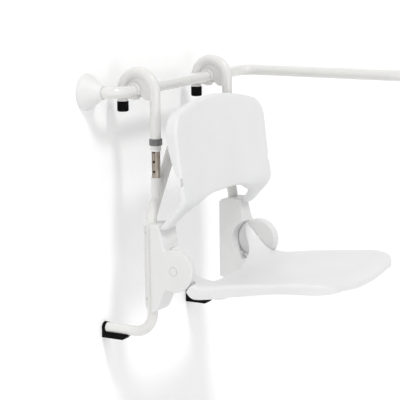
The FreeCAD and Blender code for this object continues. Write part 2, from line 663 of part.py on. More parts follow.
def backrest_shell():
    """Dished panel with a turned-back edge and a leg down to each hinge block."""
    silhouette = BACK_FRONT_EDGE + BACK_REAR_EDGE
    profile = profile_face(silhouette, CHAIR_X - 300).extrude(V(600, 0, 0))
    view = back_front_view()
    body = view.extrude(V(0, 300, 0)).common(profile)
    body = body.cut(back_hollow(BACK_CURVE_R))
    deep = [(y + BACK_SKIN, z) for y, z in BACK_FRONT_EDGE] + [(-150.0, -412.0), (-150.0, -28.0)]
    inner_view = view.makeOffset2D(-BACK_SKIN)
    hollow = inner_view.extrude(V(0, 300, 0))
    hollow = hollow.common(profile_face(deep, CHAIR_X - 300).extrude(V(600, 0, 0)))
    hollow = hollow.cut(back_hollow(BACK_CURVE_R + BACK_SKIN))
    legs = Part.makeBox(600, 300, 110, V(CHAIR_X - 300, -400, -450))
    body = body.cut(hollow.cut(legs))
    for left in (CHAIR_X - BACK_HALF - 5, CHAIR_X + BACK_HALF - BACK_SKIN - 4):
        notch = cylinder(NOTCH_R, V(left, NOTCH_Y, NOTCH_Z), X_AXIS, BACK_SKIN + 9)
        slot = Part.makeBox(BACK_SKIN + 9, 100, 2 * NOTCH_R, V(left, NOTCH_Y, NOTCH_Z - NOTCH_R))
        body = body.cut([notch, slot])
    for x in (-BRACKET_X, BRACKET_X):
        for z in BRACKET_SCREW_Z:
            boss = cylinder(BOSS_D / 2, V(CHAIR_X + x, BRACKET_FACE_Y, z), -Y_AXIS, 45)
            boss = boss.cut(back_hollow(BACK_CURVE_R + BACK_SKIN / 2))
            body = body.fuse(boss)
            body = body.cut(cylinder(SCREW_D / 2, V(CHAIR_X + x, BRACKET_FACE_Y, z), -Y_AXIS, 10))
    return body.removeSplitter()


# ---- backrest brackets ----
def backrest_bracket():
    """Clip round the cross tube with an arm forward to the back of the panel."""
    x = CHAIR_X - BRACKET_X
    tube_z = CROSS_CORNER[1]
    half = BRACKET_W / 2
    ring_part = cylinder(TUBE_D / 2 + 6, V(x - half, -TUBE_WALL, tube_z), X_AXIS, BRACKET_W)
    arm = Part.makeBox(BRACKET_W, -BRACKET_FACE_Y - TUBE_WALL, 36, V(x - half, BRACKET_FACE_Y, tube_z - 18))
    plate = Part.makeBox(BRACKET_W, 6, 80, V(x - half, BRACKET_FACE_Y, tube_z - 40))
    body = ring_part.fuse([arm, plate]).removeSplitter()
    body = body.cut(cylinder(TUBE_D / 2, V(x - 40, -TUBE_WALL, tube_z), X_AXIS, 80))
    for z in BRACKET_SCREW_Z:
        body = body.cut(cylinder(SCREW_D / 2 + 0.2, V(x, BRACKET_FACE_Y + 10, z), -Y_AXIS, 20))
    return body


def backrest_screws():
    screws = []
    for x in (-BRACKET_X, BRACKET_X):
        for z in BRACKET_SCREW_Z:
            seat = V(CHAIR_X + x, BRACKET_FACE_Y + 6, z)
            head = cylinder(SCREW_HEAD_D / 2, seat, Y_AXIS, 4.0)
            socket = cylinder(2.5, seat + V(0, 2.0, 0), Y_AXIS, 3.0)
            shank = cylinder(SCREW_D / 2, seat, -Y_AXIS, 15.5)
            screws.append(head.fuse(shank).removeSplitter().cut(socket))
    return Part.makeCompound(screws)


def build():
    nodes = {}
    nodes["wall_rail"] = wall_rail()
    plate = wall_plate()
    cover = flange_cover()
    rail_room = swept_rod(rail_path(), RAIL_D + 0.1)
    nodes["rail_plate_left"] = plate
    nodes["rail_plate_right"] = at_side_wall(plate)
    nodes["flange_cover_left"] = cover.cut(rail_room)
    nodes["flange_cover_right"] = at_side_wall(cover).cut(rail_room)
    paired = {
        "hook_tube": hook_tube, "hook_end_cap": hook_end_cap, "rail_saddle": rail_saddle,
        "height_collar": height_collar, "lock_pin": lock_pin, "guide_bush": guide_bush,
        "side_tube": side_tube, "lower_sleeve": lower_sleeve, "inner_tube": inner_tube,
        "foot_pad": foot_pad, "hinge_block": hinge_block, "hinge_pin": hinge_pin,
        "pin_cap": pin_cap, "hinge_bush": hinge_bush, "stop_buffer": stop_buffer,
        "block_screws": block_screws, "backrest_bracket": backrest_bracket,
    }
    for name, make in paired.items():
        side(name, make(), nodes)
    nodes["back_cross_tube"] = back_cross_tube()
    nodes["seat_shell"] = seat_shell()
    blocks = [nodes["hinge_block_left"], nodes["hinge_block_right"]]
    nodes["backrest_shell"] = backrest_shell().cut(blocks)
    nodes["backrest_screws"] = backrest_screws()
    return nodes


def main():
    os.makedirs("parts", exist_ok=True)
    for name, shape in build().items():
        print(name, "valid", shape.isValid(), "solids", len(shape.Solids), "volume", round(shape.Volume))
        shape.exportStep("parts/" + name + ".step")


main()
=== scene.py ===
import bpy
import bmesh
import json
import math
from mathutils import Vector, Matrix
from mathutils.geometry import delaunay_2d_cdt


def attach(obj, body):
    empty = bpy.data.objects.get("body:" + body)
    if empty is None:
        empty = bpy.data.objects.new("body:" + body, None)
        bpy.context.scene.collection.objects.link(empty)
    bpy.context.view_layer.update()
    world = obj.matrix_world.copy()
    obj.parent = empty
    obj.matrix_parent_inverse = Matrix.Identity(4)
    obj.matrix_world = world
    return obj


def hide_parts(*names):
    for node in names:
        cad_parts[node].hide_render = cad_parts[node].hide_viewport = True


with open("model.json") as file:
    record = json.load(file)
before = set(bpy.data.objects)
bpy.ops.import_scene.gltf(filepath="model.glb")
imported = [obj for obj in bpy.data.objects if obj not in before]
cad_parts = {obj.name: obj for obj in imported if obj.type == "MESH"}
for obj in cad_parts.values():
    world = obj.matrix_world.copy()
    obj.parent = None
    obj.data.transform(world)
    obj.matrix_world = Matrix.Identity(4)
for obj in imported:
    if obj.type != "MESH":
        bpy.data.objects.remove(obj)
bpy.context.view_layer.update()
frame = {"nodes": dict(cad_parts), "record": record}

MM = 0.001
CHAIR_X = 0.330                        # the chair's middle plane
HINGE_Y, HINGE_Z = -0.265, -0.530      # the seat's hinge axis
SIDES = ((-1, "left"), (1, "right"))
WHITE = (1.0, 1.0, 1.0, 1.0)

# ---------------------------------------------------------------- materials
# How tightly the pattern of drawn steel is packed along its lines and across them, and how tightly the
# painted reflection streaks of the inner tubes are packed along and across
ALONG_LINES, ACROSS_LINES = 40.0, 2400.0
ALONG_REFLECTION_STREAKS, ACROSS_REFLECTION_STREAKS = 2.0, 170.0
LINE_DEPTH = 0.00004


def new_material(name, color, roughness, metallic=0.0, specular=0.5):
    mat = bpy.data.materials.new(name)
    mat.use_nodes = True
    bsdf = mat.node_tree.nodes["Principled BSDF"]
    bsdf.inputs["Base Color"].default_value = (*color, 1.0)
    bsdf.inputs["Roughness"].default_value = roughness
    bsdf.inputs["Metallic"].default_value = metallic
    bsdf.inputs["Specular IOR Level"].default_value = specular
    return mat, mat.node_tree, bsdf


def coords(tree, scale=(1, 1, 1)):
    tex = tree.nodes.new("ShaderNodeTexCoord")
    mapping = tree.nodes.new("ShaderNodeMapping")
    mapping.inputs["Scale"].default_value = scale
    tree.links.new(tex.outputs["Object"], mapping.inputs["Vector"])
    return mapping.outputs["Vector"]


def noise(tree, vector, scale, detail=3.0, rough=0.5):
    node = tree.nodes.new("ShaderNodeTexNoise")
    node.inputs["Scale"].default_value = scale
    node.inputs["Detail"].default_value = detail
    node.inputs["Roughness"].default_value = rough
    tree.links.new(vector, node.inputs["Vector"])
    return node.outputs["Fac"]


def uneven_color(tree, bsdf, pattern, dark, light):
    """Base colour from dark to light as the pattern rises. Each is a (pattern value, colour) pair."""
    node = tree.nodes.new("ShaderNodeValToRGB")
    for element, (position, color) in zip(node.color_ramp.elements, (dark, light)):
        element.position = position
        element.color = (*color, 1.0)
    tree.links.new(pattern, node.inputs["Fac"])
    tree.links.new(node.outputs["Color"], bsdf.inputs["Base Color"])


def uneven_gloss(tree, bsdf, pattern, low, high):
    """Roughness that the pattern spreads between two values."""
    node = tree.nodes.new("ShaderNodeMapRange")
    node.inputs["To Min"].default_value = low
    node.inputs["To Max"].default_value = high
    tree.links.new(pattern, node.inputs["Value"])
    tree.links.new(node.outputs["Result"], bsdf.inputs["Roughness"])


def bump(tree, bsdf, height, distance, strength=1.0):
    node = tree.nodes.new("ShaderNodeBump")
    node.inputs["Strength"].default_value = strength
    node.inputs["Distance"].default_value = distance
    tree.links.new(height, node.inputs["Height"])
    tree.links.new(node.outputs["Normal"], bsdf.inputs["Normal"])


def plastic(name, color, roughness, tint=0.02, grain=900.0, depth=0.000025):
    """Moulded plastic: fine spark-eroded grain, faint cloudy tone and uneven gloss."""
    mat, tree, bsdf = new_material(name, color, roughness, specular=0.45)
    place = coords(tree)
    dark = tuple(c * (1 - tint) for c in color)
    light = tuple(min(1.0, c * (1 + tint * 0.6)) for c in color)
    uneven_color(tree, bsdf, noise(tree, place, 7.0, 4.0), (0.3, dark), (0.7, light))
    uneven_gloss(tree, bsdf, noise(tree, place, 34.0, 3.0), roughness - 0.06, roughness + 0.06)
    bump(tree, bsdf, noise(tree, place, grain, 2.0), depth)
    return mat


def coating(name, color, roughness):
    """Glossy powder coat on tube: slight orange peel under a thin clear layer."""
    mat, tree, bsdf = new_material(name, color, roughness)
    bsdf.inputs["Coat Weight"].default_value = 0.35
    bsdf.inputs["Coat Roughness"].default_value = 0.05
    place = coords(tree)
    dark = tuple(c * 0.975 for c in color)
    uneven_color(tree, bsdf, noise(tree, place, 9.0, 3.0), (0.3, dark), (0.7, color))
    uneven_gloss(tree, bsdf, noise(tree, place, 60.0), roughness - 0.05, roughness + 0.07)
    bump(tree, bsdf, noise(tree, place, 420.0, 2.0), 0.00002, 0.8)
    return mat


def drawn_tube_with_painted_reflections(name, dark, light, roughness):
    """Drawn stainless tube: painted reflection streaks, dark and light bands of base colour that run its
    whole length, all the way round, and real fine drawn lines in its gloss and bump.
    """
    mat, tree, bsdf = new_material(name, light, roughness, metallic=1.0)
    # Painted reflection: dark and light bands of base colour along the tube, placed at random all the way
    # round
    painted_reflection_streaks = noise(tree, coords(tree, (ACROSS_REFLECTION_STREAKS, ACROSS_REFLECTION_STREAKS, ALONG_REFLECTION_STREAKS)), 1.0, 3.0, 0.6)
    uneven_color(tree, bsdf, painted_reflection_streaks, (0.36, dark), (0.62, light))
    lines = noise(tree, coords(tree, (ACROSS_LINES, ACROSS_LINES, ALONG_LINES)), 1.0, 3.0, 0.6)
    uneven_gloss(tree, bsdf, lines, roughness - 0.08, roughness + 0.12)
    bump(tree, bsdf, lines, LINE_DEPTH, 0.7)
    return mat


def brushed(name, color, roughness, along):
    """Steel with fine drawn lines along one axis and smoky staining."""
    mat, tree, bsdf = new_material(name, color, roughness, metallic=1.0)
    stretch = tuple(ALONG_LINES if axis == along else ACROSS_LINES for axis in "XYZ")
    lines = noise(tree, coords(tree, stretch), 1.0, 3.0, 0.6)
    stain = noise(tree, coords(tree), 26.0, 4.0, 0.6)
    dark = tuple(c * 0.72 for c in color)
    light = tuple(min(1.0, c * 1.2) for c in color)
    uneven_color(tree, bsdf, stain, (0.3, dark), (0.65, light))
    uneven_gloss(tree, bsdf, lines, roughness - 0.1, roughness + 0.15)
    bump(tree, bsdf, lines, LINE_DEPTH, 0.7)
    return mat


def rubber(name, color):
    """Nearly black rubber with a trace of dust and a fine rough skin."""
    mat, tree, bsdf = new_material(name, color, 0.7, specular=0.03)
    place = coords(tree)
    dust = noise(tree, place, 45.0, 5.0, 0.6)
    light = tuple(c * 1.9 + 0.003 for c in color)
    uneven_color(tree, bsdf, dust, (0.35, color), (0.8, light))
    uneven_gloss(tree, bsdf, dust, 0.5, 0.75)
    bump(tree, bsdf, noise(tree, place, 700.0, 3.0), 0.00012)
    return mat


MATS = {
    "coated_tube": coating("coated_tube_mat", (0.75, 0.745, 0.725), 0.17),
    "matt_white": plastic("matt_white_mat", (0.77, 0.77, 0.765), 0.5),
    "seat_plastic": plastic("seat_plastic_mat", (0.775, 0.775, 0.78), 0.42, grain=700.0, depth=0.00004),
    "block_plastic": plastic("block_plastic_mat", (0.75, 0.75, 0.745), 0.38),
    "saddle_plastic": plastic("saddle_plastic_mat", (0.76, 0.75, 0.74), 0.34),
    "bush_plastic": plastic("bush_plastic_mat", (0.86, 0.86, 0.85), 0.45),
    "grey_plastic": plastic("grey_plastic_mat", (0.17, 0.17, 0.17), 0.4, tint=0.06),
    "stainless": brushed("stainless_mat", (0.48, 0.43, 0.37), 0.34, "Z"),
    "plate_steel": brushed("plate_steel_mat", (0.60, 0.60, 0.60), 0.4, "X"),
    "black_rubber": rubber("black_rubber_mat", (0.004, 0.004, 0.004)),
}
# The inner tubes get drawn steel whose dark and light streaks are painted reflections
INNER_TUBE_PAINTED_REFLECTIONS = drawn_tube_with_painted_reflections("drawn_tube_painted_reflection_mat", (0.10, 0.09, 0.075), (0.46, 0.41, 0.35), 0.30)
slots = {part["node"]: part["material_slot"] for part in frame["record"]["subparts"]}
for node, obj in frame["nodes"].items():
    for slot in obj.material_slots:
        slot.material = INNER_TUBE_PAINTED_REFLECTIONS if node.startswith("inner_tube") else MATS[slots[node]]

# ---------------------------------------------------------------- outlines
STRAIGHT = 0.01          # a corner that turns by less than this angle stays sharp


def share(value):
    """The value held between 0 and 1."""
    return max(0.0, min(1.0, value))


def corner_turn(before, corner, after):
    """Directions into and away from a corner, and the angle between them."""
    into = (corner - before).normalized()
    away = (after - corner).normalized()
    return into, away, math.acos(max(-1.0, min(1.0, into.dot(away))))


def corner_arc(corner, into, away, angle, radius, steps):
    """Points along the round corner that takes the place of a sharp one."""
    reach = radius * math.tan(angle / 2)
    side = 1 if into.cross(away) > 0 else -1
    centre = corner - into * reach + Vector((-into.y, into.x)) * radius * side
    start = corner - into * reach - centre
    arc = []
    for k in range(steps + 1):
        turn = side * angle * k / steps
        arc.append(centre + Vector((start.x * math.cos(turn) - start.y * math.sin(turn),
                                    start.x * math.sin(turn) + start.y * math.cos(turn))))
    return arc


def rounded_outline(corners, spacing):
    """Closed outline from (x, y, corner radius) points, sampled at about the spacing."""
    count = len(corners)
    runs = []
    for i, (x, y, radius) in enumerate(corners):
        here = Vector((x, y))
        after = Vector(corners[(i + 1) % count][:2])
        into, away, angle = corner_turn(Vector(corners[i - 1][:2]), here, after)
        if radius <= 0 or angle < STRAIGHT:
            runs.append([here])
        else:
            steps = max(3, math.ceil(radius * angle / spacing))
            runs.append(corner_arc(here, into, away, angle, radius, steps))
    points = []
    for i, run in enumerate(runs):
        points += run
        gap = runs[(i + 1) % count][0] - run[-1]
        steps = round(gap.length / spacing)
        for k in range(1, steps):
            points.append(run[-1] + gap * (k / steps))
    return points


def rounded_profile(points, steps):
    """(radius, along, corner radius) points to (radius, along) pairs with round corners."""
    pairs = []
    for i, (x, y, radius) in enumerate(points):
        if radius <= 0:
            pairs.append((x, y))
            continue
        here = Vector((x, y))
        into, away, angle = corner_turn(Vector(points[i - 1][:2]), here, Vector(points[i + 1][:2]))
        pairs += [tuple(point) for point in corner_arc(here, into, away, angle, radius, steps)]
    return pairs


def hermite(table, x):
    """Smooth curve through a table of (x, y) pairs in rising x, flat beyond its ends."""
    if x <= table[0][0]:
        return table[0][1]
    if x >= table[-1][0]:
        return table[-1][1]
    i = max(k for k in range(len(table) - 1) if table[k][0] <= x)
    slopes = []
    for k in (i, i + 1):
        low, high = table[max(k - 1, 0)], table[min(k + 1, len(table) - 1)]
        slopes.append((high[1] - low[1]) / (high[0] - low[0]))
    (x0, y0), (x1, y1) = table[i], table[i + 1]
    step = x1 - x0
    t = (x - x0) / step
    return ((2 * t ** 3 - 3 * t ** 2 + 1) * y0 + (t ** 3 - 2 * t ** 2 + t) * step * slopes[0]
            + (3 * t ** 2 - 2 * t ** 3) * y1 + (t ** 3 - t ** 2) * step * slopes[1])


def inward(points, i):
    """Direction into a counter-clockwise outline at one of its points."""
    before, after = points[i - 1], points[(i + 1) % len(points)]
    along = (after - before).normalized()
    return Vector((-along.y, along.x))


def inside(points, x, y):
    """Whether a point lies inside the outline."""
    hit = False
    for i in range(len(points)):
        a, b = points[i - 1], points[i]
        if (a.y > y) != (b.y > y) and x < (b.x - a.x) * (y - a.y) / (b.y - a.y) + a.x:
            hit = not hit
    return hit


def clearance(points, x, y):
    """Distance to the nearest point of the outline."""
    return min((p.x - x) ** 2 + (p.y - y) ** 2 for p in points) ** 0.5

# ---------------------------------------------------------------- mesh tools
SHARP_DEGREES = 38


def new_object(name, data):
    obj = bpy.data.objects.new(name, data)
    bpy.context.scene.collection.objects.link(obj)
    return obj


def finish_mesh(name, bm):
    mesh = bpy.data.meshes.new(name)
    bm.to_mesh(mesh)
    bm.free()
    return new_object(name, mesh)


def dress(obj, body, slot, *nodes):
    """Material, slot, body and the CAD nodes that the piece stands for."""
    obj.data.materials.append(MATS[slot])
    if nodes:
        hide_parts(*nodes)
    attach(obj, body)


def soften(obj, width, segments, angle=50):
    """Rounds the edges that turn by more than the angle, in degrees."""
    step = obj.modifiers.new("round", "BEVEL")
    step.width = width
    step.segments = segments
    step.limit_method = "ANGLE"
    step.angle_limit = math.radians(angle)
    step.use_clamp_overlap = True


def sharpen(mesh):
    """Smooth shading, apart from the edges that turn by more than SHARP_DEGREES."""
    bm = bmesh.new()
    bm.from_mesh(mesh)
    for edge in bm.edges:
        edge.smooth = len(edge.link_faces) == 2 and edge.calc_face_angle() < math.radians(SHARP_DEGREES)
    for face in bm.faces:
        face.smooth = True
    bm.to_mesh(mesh)
    bm.free()


def settle(obj):
    """Applies the modifiers of a mesh."""
    bpy.context.view_layer.update()
    graph = bpy.context.evaluated_depsgraph_get()
    mesh = bpy.data.meshes.new_from_object(obj.evaluated_get(graph))
    obj.modifiers.clear()
    obj.data = mesh


def join(obj, other, operation="UNION"):
    """Adds a closed mesh to another, or cuts it away, for good."""
    step = obj.modifiers.new("join", "BOOLEAN")
    step.object = other
    step.operation = operation
    step.solver = "EXACT"
    settle(obj)
    bpy.data.objects.remove(other)


def extruded(name, points, x0, x1, width=0.0, segments=3):
    """A plate between two X planes from (y, z) points. A width rounds its edges."""
    bm = bmesh.new()
    rings = [[bm.verts.new((CHAIR_X + x, y, z)) for y, z in points] for x in (x0, x1)]
    bm.faces.new(rings[0])
    bm.faces.new(rings[1][::-1])
    for k in range(len(points)):
        bm.faces.new([rings[0][k - 1], rings[0][k], rings[1][k], rings[1][k - 1]])
    bmesh.ops.recalc_face_normals(bm, faces=bm.faces)
    obj = finish_mesh(name, bm)
    if width:
        soften(obj, width, segments)
    return obj


def turned(name, profile, origin, axis, steps=72):
    """Closed solid of revolution from (radius, distance along the axis) pairs."""
    axis = Vector(axis).normalized()
    first = axis.orthogonal().normalized()
    second = axis.cross(first)
    bm = bmesh.new()
    rings = []
    for radius, along in profile:
        centre = Vector(origin) + axis * along
        if radius < 1e-6:
            rings.append([bm.verts.new(centre)])
            continue
        rings.append([bm.verts.new(centre + (first * math.cos(a) + second * math.sin(a)) * radius)
                      for a in (2 * math.pi * k / steps for k in range(steps))])
    for low, high in zip(rings, rings[1:]):
        for k in range(steps):
            below = [low[k - 1], low[k]] if len(low) > 1 else low
            above = [high[k], high[k - 1]] if len(high) > 1 else high
            bm.faces.new(below + above)
    bmesh.ops.recalc_face_normals(bm, faces=bm.faces)
    obj = finish_mesh(name, bm)
    sharpen(obj.data)
    return obj


def rod(radius, low, high, y, z, steps=72):
    """Closed cylinder along X between two distances from the chair's middle plane."""
    profile = [(0, 0), (radius, 0), (radius, high - low), (0, high - low)]
    return turned("rod", profile, (CHAIR_X + low, y, z), (1, 0, 0), steps)


def weld(mesh):
    """Closes the hairline gaps that the cuts leave where faces lie in one plane."""
    bm = bmesh.new()
    bm.from_mesh(mesh)
    bmesh.ops.remove_doubles(bm, verts=bm.verts, dist=0.00005)
    bmesh.ops.dissolve_degenerate(bm, edges=bm.edges, dist=0.00002)
    bmesh.ops.holes_fill(bm, edges=[edge for edge in bm.edges if edge.is_boundary], sides=8)
    bm.to_mesh(mesh)
    bm.free()


def mirror_image(obj, name):
    """A copy on the other side of the chair's middle plane."""
    mesh = obj.data.copy()
    mesh.transform(Matrix.Translation((2 * CHAIR_X, 0, 0)) @ Matrix.Scale(-1, 4, (1, 0, 0)))
    mesh.flip_normals()
    return new_object(name, mesh)

# ---------------------------------------------------------------- moulded sheets
SHEET = 0.0045           # thickness of both mouldings
OUTLINE_STEP = 0.0035    # spacing of the points along their outlines
ROLL_RINGS = 5           # rings of points over the rolled border
SKIRT_STEPS = 4          # rows of faces down the turned-back border
RIM_ROUND = 1.1 * MM     # rounding of the sheet's cut edge
ONE_POINT = 1e-7         # outline points nearer than this are merged


def moulded_sheet(name, outline, roll_radius, grid, lift, skirt):
    """A thin moulding: an outline filled with a fine mesh, its border rolled over and turned back.
    lift(x, y, drop) places a point of the face, and skirt(x, y, top) lists the points down the border
    from its point at the top."""
    coords2d, drops, edges = [], [], []
    count = len(outline)
    for ring in range(ROLL_RINGS + 1):
        theta = math.pi / 2 * ring / ROLL_RINGS
        first = len(coords2d)
        for i, point in enumerate(outline):
            radius = roll_radius(point.x, point.y)
            step = inward(outline, i) * radius * (1 - math.cos(theta))
            coords2d.append(point + step)
            drops.append(radius * (1 - math.sin(theta)))
        edges += [(first + i, first + (i + 1) % count) for i in range(count)]
    inner = coords2d[ROLL_RINGS * count:]
    low_x, high_x = min(p.x for p in inner), max(p.x for p in inner)
    low_y, high_y = min(p.y for p in inner), max(p.y for p in inner)
    rows = int((high_y - low_y) / grid) + 1
    for row in range(rows):
        y = low_y + grid * (row + 0.5)
        shift = 0.5 * grid if row % 2 else 0.0
        for col in range(int((high_x - low_x) / grid) + 1):
            x = low_x + grid * col + shift
            if inside(inner, x, y) and clearance(inner, x, y) > grid * 0.6:
                coords2d.append(Vector((x, y)))
                drops.append(0.0)
    verts, _, faces, source, _, _ = delaunay_2d_cdt(coords2d, edges, [], 1, ONE_POINT)
    bm = bmesh.new()
    made = []
    border = {}
    for i, vert in enumerate(verts):
        drop = drops[source[i][0]] if source[i] else 0.0
        made.append(bm.verts.new(lift(vert.x, vert.y, drop)))
        for original in source[i]:
            if original < count:
                border[original] = made[-1]
    for face in faces:
        bm.faces.new([made[i] for i in face])
    columns = []
    for i, point in enumerate(outline):
        columns.append([border[i]] + [bm.verts.new(p) for p in skirt(point.x, point.y, border[i].co)])
    for i in range(count):
        a, b = columns[i], columns[(i + 1) % count]
        for k in range(len(a) - 1):
            bm.faces.new([a[k], a[k + 1], b[k + 1], b[k]])
    bmesh.ops.recalc_face_normals(bm, faces=bm.faces)
    centre = lift(low_x / 2 + high_x / 2, low_y / 2 + high_y / 2, 0)
    middle = min(bm.faces, key=lambda face: (face.calc_center_median() - centre).length)
    towards = lift(0, 0, 0) - lift(0, 0, 0.001)
    if middle.normal.dot(towards) < 0:
        bmesh.ops.reverse_faces(bm, faces=bm.faces)
    for face in bm.faces:
        face.smooth = True
    obj = finish_mesh(name, bm)
    solid = obj.modifiers.new("skin", "SOLIDIFY")
    solid.thickness = SHEET
    solid.offset = -1
    solid.use_even_offset = True
    solid.thickness_clamp = 1.0
    soften(obj, RIM_ROUND, 2)
    return obj

# ---------------------------------------------------------------- backrest
# (height, depth) pairs of the panel's front line and of its turned-back edge
BACK_FRONT = [(-0.412, -0.236), (-0.393, -0.253), (-0.361, -0.281), (-0.346, -0.294), (-0.330, -0.303),
              (-0.312, -0.306), (-0.286, -0.302), (-0.205, -0.291), (-0.120, -0.281), (-0.075, -0.274),
              (-0.028, -0.266)]
BACK_REAR = [(-0.412, -0.214), (-0.392, -0.229), (-0.356, -0.266), (-0.334, -0.284), (-0.308, -0.290),
             (-0.290, -0.289), (-0.280, -0.281), (-0.262, -0.282), (-0.246, -0.281), (-0.208, -0.266),
             (-0.155, -0.251), (-0.091, -0.242), (-0.028, -0.237)]
BACK_HALF = 0.283
LEG_INNER = 0.231
LEG_FOOT_Z, CROWN_Z = -0.412, -0.003
# (x, z, corner radius), counter-clockwise from the foot of one leg
BACK_RIGHT = [(LEG_INNER, LEG_FOOT_Z, 0.018), (BACK_HALF, LEG_FOOT_Z, 0.018), (BACK_HALF, -0.073, 0.070)]
BACK_CROWN = [(0.0, CROWN_Z, 0.9)]
BACK_ARCH = [(-0.212, -0.363, 0.05), (-0.105, -0.321, 0.25), (0.105, -0.321, 0.25), (0.212, -0.363, 0.05)]
BACK_LEFT = [(-x, z, radius) for x, z, radius in reversed(BACK_RIGHT)]
BACK_OUTLINE = BACK_RIGHT + BACK_CROWN + BACK_LEFT + BACK_ARCH
BACK_HOLLOW, HOLLOW_HALF = 0.011, 0.270      # the back's hollow: its depth and half its width
ARCH_DEPTH = 0.020                           # depth of the border under the arch
NOTCH_Z, NOTCH_R, NOTCH_Y = -0.260, 0.0145, -0.288
NOTCH_REAR_Y = -0.20
NOTCH_X = (BACK_HALF - 0.012, BACK_HALF + 0.02)


def back_face(x, z):
    hollow = BACK_HOLLOW * (1 - min(1.0, abs(x) / HOLLOW_HALF) ** 2)
    return hermite(BACK_FRONT, z) + hollow


def back_lift(x, z, drop):
    return Vector((CHAIR_X + x, back_face(x, z) + drop, z))


def back_roll(x, z):
    """Radius of the rolled border: 9 mm, growing to 12 mm at the feet."""
    return 0.009 + 0.003 * share((-0.33 - z) / 0.05)


def back_skirt(x, z, top):
    at_arch = share((0.215 - abs(x)) / 0.05) if z < -0.30 else 0.0
    end = (1 - at_arch) * hermite(BACK_REAR, z) + at_arch * (back_face(x, z) + ARCH_DEPTH)
    end = max(end, top.y + 0.002)
    steps = range(1, SKIRT_STEPS + 1)
    return [Vector((top.x, top.y + (end - top.y) * k / SKIRT_STEPS, top.z)) for k in steps]


def notch_cutter(side):
    """The shape cut out of one side. Its face between the last corner and the first is crossed over,
    which leaves some faces of the left notch turned inwards."""
    angles = [math.pi * (k / 16 - 0.5) for k in range(17)]
    corners = [(NOTCH_Y - NOTCH_R * math.cos(a), NOTCH_Z + NOTCH_R * math.sin(a)) for a in angles]
    corners += [(NOTCH_REAR_Y, NOTCH_Z + NOTCH_R), (NOTCH_REAR_Y, NOTCH_Z - NOTCH_R)]
    count = len(corners)
    bm = bmesh.new()
    verts = [bm.verts.new((CHAIR_X + side * x, y, z)) for x in NOTCH_X for y, z in corners]
    bm.faces.new(verts[:count])
    bm.faces.new(verts[count:][::-1])
    for k in range(count):
        bm.faces.new([verts[k - 1], verts[k], verts[count + k], verts[count + k - 1]])
    bmesh.ops.recalc_face_normals(bm, faces=bm.faces)
    return finish_mesh("notch", bm)


def backrest_moulding():
    outline = rounded_outline(BACK_OUTLINE, OUTLINE_STEP)
    panel = moulded_sheet("backrest_moulding", outline, back_roll, 0.010, back_lift, back_skirt)
    for side, _ in SIDES:
        join(panel, notch_cutter(side), "DIFFERENCE")
        sharpen(panel.data)
    dress(panel, "lower_frame", "seat_plastic", "backrest_shell")


backrest_moulding()

# ---------------------------------------------------------------- seat
# Stations from rear to front: (y, half width, face heights from the middle out to the rim), in mm
SEAT_ACROSS = (0, 60, 106, 151, 187, 214, 238, 256, 274, 285)
SEAT_STATIONS = [
    (-215, 285, (-604, -603, -598, -576, -552, -530, -505, -478, -476, -476)),
    (-240, 285, (-604, -603, -599, -577, -554, -534, -513, -486, -484, -484)),
    (-260, 285, (-604, -603, -599, -577, -555, -537, -523, -508, -506, -506)),
    (-280, 285, (-604, -603, -598, -577, -557, -545, -537, -531, -530, -532)),
    (-302, 285, (-603, -601, -595, -578, -563, -556, -552, -551, -552, -555)),
    (-333, 285, (-600, -598, -592, -580, -570, -566, -565, -565, -566, -569)),
    (-370, 285, (-597, -595, -589, -580, -573, -569, -566, -565, -566, -569)),
    (-460, 283, (-589, -587, -582, -574, -567, -561, -556, -553, -553, -556)),
    (-560, 277, (-580, -578, -574, -567, -560, -553, -547, -542, -541, -544)),
    (-680, 266, (-567, -566, -562, -556, -550, -543, -537, -530, -528, -531)),
    (-765, 255, (-562, -561, -557, -552, -547, -542, -537, -532, -531, -533)),
]
SEAT_LOW = [(-765, -560), (-671, -560), (-593, -566), (-476, -585), (-402, -599), (-357, -606), (-334, -607),
            (-323, -603), (-313, -594), (-307.5, -586)]      # the lower edge along a side, in mm
SEAT_HALF, SEAT_FRONT_Y = 0.285, -0.765
EAR_X, EAR_OUTER = 0.253, 0.2555
EAR_FRONT_Y = -0.322
STRIP_X, STRIP_BACK_Y = 0.2568, -0.3075      # the strip outside the ears, beside the cheeks
CHEEK_GAP_R = 0.0695                         # it follows the cheek at this radius
SEAT_RIGHT = [(0.140, -0.280, 0.10), (0.193, -0.272, 0.08), (EAR_X, -0.220, 0.004),
              (EAR_X, EAR_FRONT_Y, 0.001), (STRIP_X, EAR_FRONT_Y, 0.001), (STRIP_X, STRIP_BACK_Y, 0.001),
              (SEAT_HALF, STRIP_BACK_Y, 0.004), (SEAT_HALF, -0.400, 0.2), (0.263, SEAT_FRONT_Y, 0.095)]
SEAT_OUTLINE = [(-x, y, radius) for x, y, radius in SEAT_RIGHT] + SEAT_RIGHT[::-1]


def seat_rows():
    """The stations in metres, each as (y, [(x, height), ...]), in rising y."""
    rows = []
    for y, half, heights in SEAT_STATIONS:
        scale = half / SEAT_ACROSS[-1]
        rows.append((y * MM, [(a * scale * MM, z * MM) for a, z in zip(SEAT_ACROSS, heights)]))
    return sorted(rows)


SEAT_ROWS = seat_rows()
SEAT_EDGE = [(y * MM, z * MM) for y, z in SEAT_LOW]


def seat_height(x, y):
    height = hermite([(row_y, hermite(row, abs(x))) for row_y, row in SEAT_ROWS], y)
    reach = CHEEK_GAP_R ** 2 - (y - HINGE_Y) ** 2
    if abs(x) > 0.2560 and reach > 0:
        height = min(height, HINGE_Z - math.sqrt(reach))
    return height


def seat_lift(x, y, drop):
    return Vector((CHAIR_X + x, y, seat_height(x, y) - drop))


def seat_roll(x, y):
    """Radius of the rolled border: full along the rim, small beside the cheek and behind."""
    return 0.0022 + 0.0068 * share((EAR_FRONT_Y - y) / 0.03)


